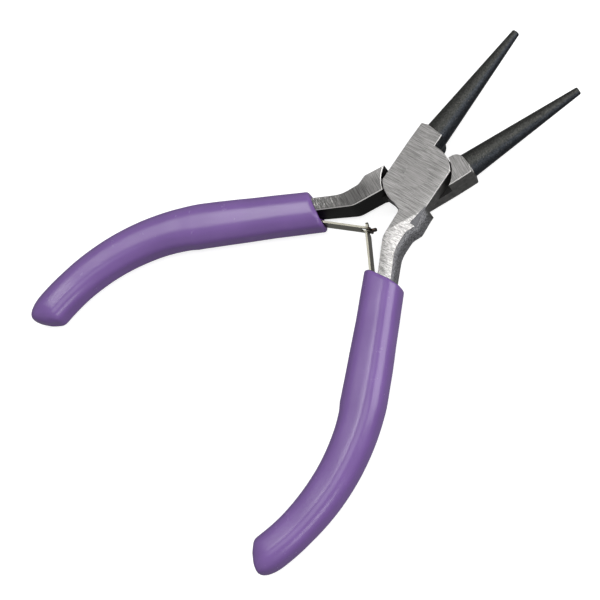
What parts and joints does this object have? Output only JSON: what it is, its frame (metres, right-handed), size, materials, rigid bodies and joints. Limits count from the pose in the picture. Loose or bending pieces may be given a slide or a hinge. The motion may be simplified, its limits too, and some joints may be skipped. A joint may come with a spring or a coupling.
{
  "type": "round nose pliers",
  "caption": "Small jewellery pliers with tapered round jaws, a riveted lap joint, a return spring of crossed leaves and curved soft sleeves on the handles.",
  "frame": {"origin": "on the pivot axis, on the lower ground face of the joint", "axes": "+Z along the pivot axis, up through the joint; +Y along the tool from the handles to the jaw tips; +X to the side of half B's jaw; rest pose open"},
  "size_m": [0.0866, 0.1193, 0.0086],
  "materials": {
    "tool_steel": "ground and brushed flats, dark oxide on the jaws and forged sides",
    "rivet_steel": "ground flush and brushed",
    "sleeve_vinyl": "satin to glossy soft vinyl, purple",
    "spring_steel": "bright nickel plated"
  },
  "bodies": {
    "upper_half": {"half_a": "tool_steel", "pivot_rivet": "rivet_steel", "grip_a": "sleeve_vinyl", "spring_rivet_a": "rivet_steel"},
    "lower_half": {"half_b": "tool_steel", "grip_b": "sleeve_vinyl", "spring_rivet_b": "rivet_steel"},
    "upper_leaf": {"spring_leaf_a": "spring_steel"},
    "lower_leaf": {"spring_leaf_b": "spring_steel"}
  },
  "joints": [
    {"name": "pivot", "type": "hinge", "parent": "upper_half", "child": "lower_half", "pos_m": [0, 0, 0.0033], "axis": [0, 0, 1], "range_deg": [-4, 28], "stiffness_Nm_per_rad": 0.35},
    {"name": "upper_leaf_flex", "type": "hinge", "parent": "upper_half", "child": "upper_leaf", "pos_m": [0.01409, -0.0253, 0.0033], "axis": [0, 0, 1], "range_deg": [-14.6, 2.2], "deforming": ["spring_leaf_a"]},
    {"name": "lower_leaf_flex", "type": "hinge", "parent": "lower_half", "child": "lower_leaf", "pos_m": [-0.01409, -0.0253, 0.0033], "axis": [0, 0, 1], "range_deg": [-2.2, 14.6], "deforming": ["spring_leaf_b"]}
  ],
  "couplings": [
    {"joint": "upper_leaf_flex", "follows": "pivot", "ratio": -0.515},
    {"joint": "lower_leaf_flex", "follows": "pivot", "ratio": 0.515}
  ]
}
